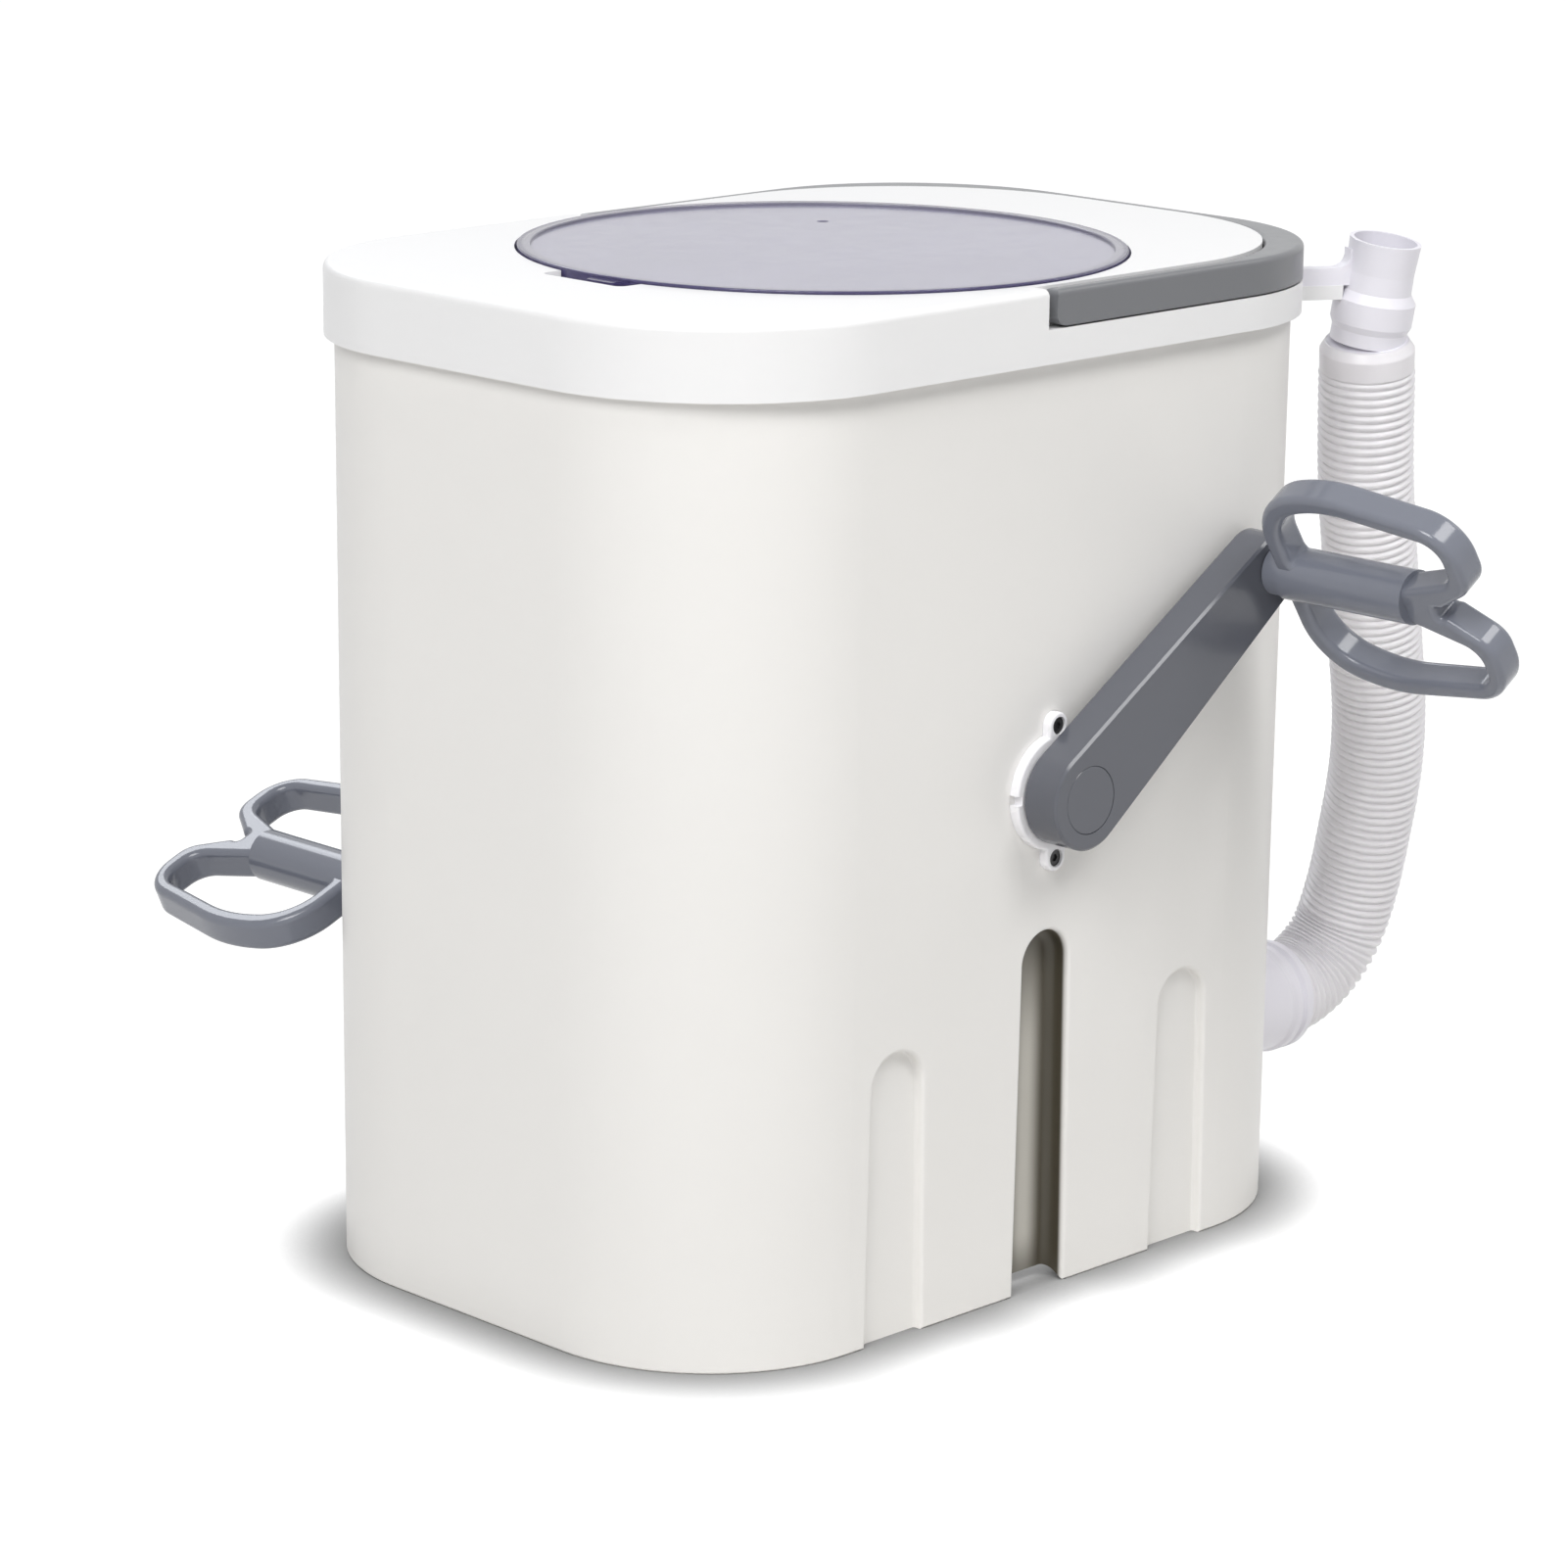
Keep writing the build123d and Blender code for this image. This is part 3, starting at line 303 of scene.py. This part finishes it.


# Painted shade inside the middle arch's recess: dark brown, blended towards a paler brown by the painted
# light share
def recessed(add, place, tone):
    recess = add("ShaderNodeGroup", {"Place": place}, node_tree=recess_mask)
    inside = blend(add, recess["Open"], (0.072, 0.062, 0.042, 1), (0.56, 0.54, 0.49, 1))
    return blend(add, recess["Mask"], tone, inside)


# The tub's colour carries the painted shade of the middle arch's recess
tub_plastic = plastic(
    "tub plastic", (0.855, 0.843, 0.822), 0.36, clouds=0.02, skin_scale=700.0, over=recessed
)
finish_node("tub", tub_plastic)


# Cover: the same plastic in a cleaner white and a smoother mould, snapped over a black rubber seal.
# Its deck has the round opening, and a rebate round the drain end takes the handle.
cover_plastic = plastic("cover plastic", (0.865, 0.865, 0.87), 0.28, clouds=0.01)
finish_node("cover", cover_plastic)
seal_rubber = plastic("seal rubber", (0.02, 0.02, 0.02), 0.6, clouds=0.1, skin_depth=0.0001)
finish_node("cover_seal", seal_rubber)


# Lid: a flat cap of clear plastic with a violet tint, hazy from its mould, and dropped into the cover.
# Its turned-down rim is painted darker than the panel, a grey-violet band and a dark violet outer line:
# partly the deeper tint of thicker plastic, partly painted shade of the gap round the lid.
def ring_mask_group():
    group, start, end = new_group(
        "ring mask",
        "ShaderNodeTree",
        (("Place", "Vector", None), ("Inner Radius", "Float", 0.1), ("Outer Radius", "Float", 0.11)),
        (("Mask", "Float"),),
    )
    put, add, calc = wiring(group)
    flat = add("ShaderNodeVectorMath", {0: start["Place"], 1: (1, 1, 0)}, operation="MULTIPLY")["Vector"]
    distance = add("ShaderNodeVectorMath", {0: flat}, operation="LENGTH")["Value"]
    ends = {"Value": distance, "From Min": start["Inner Radius"], "From Max": start["Outer Radius"]}
    ramp = add("ShaderNodeMapRange", ends, interpolation_type="SMOOTHSTEP")
    put(end["Mask"], ramp["Result"])
    return group


ring_mask = ring_mask_group()


# Painted shade: two darker rings round the lid's edge
def rimmed(add, place, tone):
    for inner, outer, tint in (
        (0.1180, 0.1190, (0.40, 0.39, 0.49, 1)),
        (0.1222, 0.1234, (0.10, 0.085, 0.22, 1)),
    ):
        radii = {"Place": place, "Inner Radius": inner, "Outer Radius": outer}
        rim = add("ShaderNodeGroup", radii, node_tree=ring_mask)
        tone = blend(add, rim["Mask"], tone, tint)
    return tone


lid_plastic = plastic(
    "lid plastic", (0.50, 0.485, 0.62), 0.14, clouds=0.12, scuffs=0.08, see_through=0.55, over=rimmed
)
lid_plastic.node_tree.nodes["Principled BSDF"].inputs["IOR"].default_value = 1.49
finish_node("lid", lid_plastic)


# Handle: a U of blue-grey plastic that lies flush in the cover's rebate.
# It turns up on two stub pins moulded inside its ends, which sit in holes in the cover.
handle_plastic = plastic("handle plastic", (0.165, 0.17, 0.182), 0.27, clouds=0.03)
finish_node("handle", handle_plastic)


# Bearings: white moulded flanges with black screws over plain plastic bushes and rubber lip seals.
# One stands on each long wall, and the crankshaft runs through both.
flange_plastic = plastic("flange plastic", (0.90, 0.895, 0.92), 0.22)
screw_black = plastic("blackened steel", (0.015, 0.015, 0.017), 0.35)
bush_plastic = plastic("bush plastic", (0.55, 0.52, 0.43), 0.5)
for end in ("front", "rear"):
    finish_node("bearing_flange_" + end, flange_plastic)
    finish_node("flange_screws_" + end, screw_black)
    finish_node("shaft_bush_" + end, bush_plastic)
    finish_node("shaft_seal_" + end, seal_rubber)


# Shaft, pins and screws: plain steel, turned on a lathe, with the fine rings that the tool leaves.
# The shaft drives the hub through two cross pins and the arms through its square ends.
steel = bpy.data.materials.new("turned steel")
steel.use_nodes = True
put, add, calc = wiring(steel.node_tree)
place = add("ShaderNodeTexCoord")["Object"]
ring_sizes = {"Vector": place, "Scale": 900.0, "Distortion": 0.4}
rings = add("ShaderNodeTexWave", ring_sizes, bands_direction="Y")["Fac"]
ring_gloss = add("ShaderNodeMapRange", {"Value": rings, "To Min": 0.24, "To Max": 0.38})["Result"]
steel_shader = steel.node_tree.nodes["Principled BSDF"].inputs
put(steel_shader["Base Color"], (0.56, 0.57, 0.58, 1))
put(steel_shader["Metallic"], 1.0)
put(steel_shader["Roughness"], ring_gloss)
finish_node("crankshaft", steel)
finish_node("hub_pins", steel)
for end in ("front", "rear"):
    for part in ("crank_screw_", "grip_spindle_", "grip_washer_", "grip_screw_"):
        finish_node(part + end, steel)


# Agitator: a hub with four perforated paddles of pale matt plastic.
# Each paddle slides into a slot along the hub, and the crankshaft turns them all.
paddle_plastic = plastic("paddle plastic", (0.60, 0.63, 0.68), 0.45, clouds=0.03)
finish_node("agitator_hub", paddle_plastic)
for number in range(1, 5):
    finish_node("paddle_" + str(number), paddle_plastic)


# Crank arms with their caps, and the grips: blue-grey plastic, satin from the mould.
# A screw under each cap holds the arm on the shaft, and each grip turns on a spindle in a plain bush.
smooth_skin = {"clouds": 0.03, "skin_scale": 400.0, "skin_depth": 0.00001, "scuffs": 0.03}
arm_plastic = plastic("arm plastic", (0.106, 0.111, 0.132), 0.18, **smooth_skin)
grip_plastic = plastic("grip plastic", (0.19, 0.203, 0.245), 0.13, **smooth_skin)
for end in ("front", "rear"):
    finish_node("crank_arm_" + end, arm_plastic)
    finish_node("crank_cap_" + end, arm_plastic)
    finish_node("grip_" + end, grip_plastic)
    finish_node("grip_bush_" + end, bush_plastic)


# Drain: spigot, nut and strainer of pale lavender plastic. The nut clamps the spigot in the end wall on
# a rubber gasket, and the hose's cuff and nozzle are of the same plastic.
drain_plastic = plastic("drain plastic", (0.90, 0.885, 0.95), 0.30, clouds=0.02, see_through=0.08)
for part in ("drain_spigot", "drain_nut", "drain_strainer", "hose_cuff", "hose_nozzle"):
    finish_node(part, drain_plastic)
finish_node("drain_gasket", seal_rubber)


# Hose: a blown ribbed tube of soft pale plastic, pushed over the nozzle at the top and into the cuff
# at the spigot. It stands in one S from end to end, and each rib is a wave of the tube's radius.
def ribbed_hose_tree(sizes):
    inputs = [("Route", "Geometry", None)]
    for name, value in sizes.items():
        inputs.append((name, "Int" if isinstance(value, int) else "Float", value))
    inputs.append(("Finish", "Material", None))
    tree, start, end = new_group("ribbed hose", "GeometryNodeTree", inputs, (("Hose", "Geometry"),))
    put, add, calc = wiring(tree)

    # The route's own bends, each with the radius that its point carries
    bend_radius = add("GeometryNodeInputRadius")[0]
    bends = add(
        "GeometryNodeFilletCurve", {"Curve": start["Route"], "Count": 32, "Radius": bend_radius}, mode="POLY"
    )
    line = add("GeometryNodeResampleCurve", {"Curve": bends["Curve"], "Count": start["Rings"]})["Curve"]

    # The wave of the ribs, wide at the crest and narrow in the groove
    first_crest = 0.45
    crest_power = 0.6
    plain_step = 0.0004
    neck_length = 0.004
    last_ring = 0.4999
    along = add("GeometryNodeSplineParameter")
    turn = calc("DIVIDE", calc("SUBTRACT", along["Length"], start["Plain Top"]), start["Rib Pitch"])
    swing = calc("COSINE", calc("MULTIPLY", calc("SUBTRACT", turn, first_crest), 2 * math.pi))
    crest = calc("POWER", calc("MULTIPLY_ADD", swing, 0.5, 0.5), crest_power)
    past_top = calc("GREATER_THAN", turn, 0.0)
    ribbed = calc("MULTIPLY", past_top, calc("LESS_THAN", turn, start["Rib Count"]))
    groove = calc("MULTIPLY", calc("SUBTRACT", 1.0, crest), start["Rib Height"])
    plain = calc("MULTIPLY", calc("SUBTRACT", 1.0, ribbed), plain_step)
    depth = calc("MULTIPLY_ADD", groove, ribbed, plain)
    neck_ends = {"From Min": 0.0, "From Max": neck_length, "To Min": start["Neck Depth"], "To Max": 0.0}
    neck = add("ShaderNodeMapRange", {"Value": along["Length"], **neck_ends})["Result"]
    radius = calc("SUBTRACT", calc("SUBTRACT", start["Tube Radius"], depth), neck)
    at_end = calc("GREATER_THAN", calc("ABSOLUTE", calc("SUBTRACT", along["Factor"], 0.5)), last_ring)
    closing = calc("SUBTRACT", start["Bore Radius"], radius)
    wall_radius = calc("MULTIPLY_ADD", at_end, closing, radius)
    # The crest mark also places the painted light in the grooves
    crest_mark = calc("MULTIPLY_ADD", calc("SUBTRACT", crest, 1.0), ribbed, 1.0)

    # The wall and the bore are two tubes on the same line, joined at both ends
    marked = add(
        "GeometryNodeStoreNamedAttribute",
        {"Geometry": line, "Name": "rib crest", "Value": crest_mark},
        domain="POINT",
    )["Geometry"]
    ring = add("GeometryNodeCurvePrimitiveCircle", {"Resolution": start["Sides"], "Radius": 1.0})["Curve"]
    route_and_ring = {"Curve": marked, "Profile Curve": ring}
    wall = add("GeometryNodeCurveToMesh", {**route_and_ring, "Scale": wall_radius})["Mesh"]
    bore = add("GeometryNodeCurveToMesh", {**route_and_ring, "Scale": start["Bore Radius"]})["Mesh"]
    bore_inside = add("GeometryNodeFlipFaces", {"Mesh": bore})["Mesh"]
    both = tree.nodes.new("GeometryNodeJoinGeometry")
    put(both.inputs["Geometry"], wall)
    put(both.inputs["Geometry"], bore_inside)
    joined = both.outputs["Geometry"]
    merged = add("GeometryNodeMergeByDistance", {"Geometry": joined, "Distance": 0.00001})["Geometry"]
    smooth = add("GeometryNodeSetShadeSmooth", {"Geometry": merged})["Geometry"]
    whole = add("GeometryNodeRealizeInstances", {"Geometry": smooth})["Geometry"]
    finished = add("GeometryNodeSetMaterial", {"Geometry": whole, "Material": start["Finish"]})["Geometry"]
    put(end["Hose"], finished)
    return tree


# Painted light: the grooves between the ribs are coloured paler than the crests, lifting the shade that
# falls in them
def grooved(add, place, tone):
    crest = add("ShaderNodeAttribute", attribute_name="rib crest")["Fac"]
    return blend(add, crest, (0.97, 0.945, 0.99, 1), tone)


hose_plastic = plastic(
    "hose plastic", (0.93, 0.905, 0.95), 0.28, clouds=0.02, skin_scale=500.0, see_through=0.10, over=grooved
)
hose_shader = hose_plastic.node_tree.nodes["Principled BSDF"].inputs
hose_shader["Subsurface Weight"].default_value = 0.45
hose_shader["Subsurface Radius"].default_value = (1, 0.97, 1)
hose_shader["Subsurface Scale"].default_value = 0.002

# Each bend is a place with its radius, from the nozzle's seat to the spigot's flange
hose_bends = (
    ((0.2166, -0.1122, 0.3685), 0.0),
    ((0.2275, -0.1052, 0.3060), 0.390),
    ((0.2645, -0.0910, 0.1800), 0.260),
    ((0.2705, -0.0740, 0.1120), 0.150),
    ((0.2655, -0.0620, 0.0645), 0.036),
    ((0.1960, -0.0620, 0.0645), 0.0),
)
route_data = bpy.data.curves.new("hose route", "CURVE")
route_data.dimensions = "3D"
route_line = route_data.splines.new("POLY")
route_line.points.add(len(hose_bends) - 1)
for point, (bend_place, bend_radius) in zip(route_line.points, hose_bends):
    point.co = (*bend_place, 1)
    point.radius = bend_radius
route = bpy.data.objects.new("hose route", route_data)
scene.collection.objects.link(route)
hose_sizes = {
    "Tube Radius": 0.0207,
    "Bore Radius": 0.0174,
    "Plain Top": 0.013,
    "Neck Depth": 0.0026,
    "Rib Pitch": 0.0037,
    "Rib Height": 0.0015,
    "Rib Count": 87,
    "Rings": 820,
    "Sides": 44,
}
hose_tree = ribbed_hose_tree(hose_sizes)
ribs = route.modifiers.new("ribs", "NODES")
ribs.node_group = hose_tree
hose_inputs = {**hose_sizes, "Finish": hose_plastic}
for socket in hose_tree.interface.items_tree:
    if socket.in_out == "INPUT" and socket.name in hose_inputs:
        ribs[socket.identifier] = hose_inputs[socket.name]
shape = route.evaluated_get(bpy.context.evaluated_depsgraph_get())
hose_mesh = bpy.data.meshes.new_from_object(shape)
bpy.data.objects.remove(route)
hose = bpy.data.objects.new("ribbed_hose", hose_mesh)
scene.collection.objects.link(hose)
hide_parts("hose")
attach(hose, "washer")
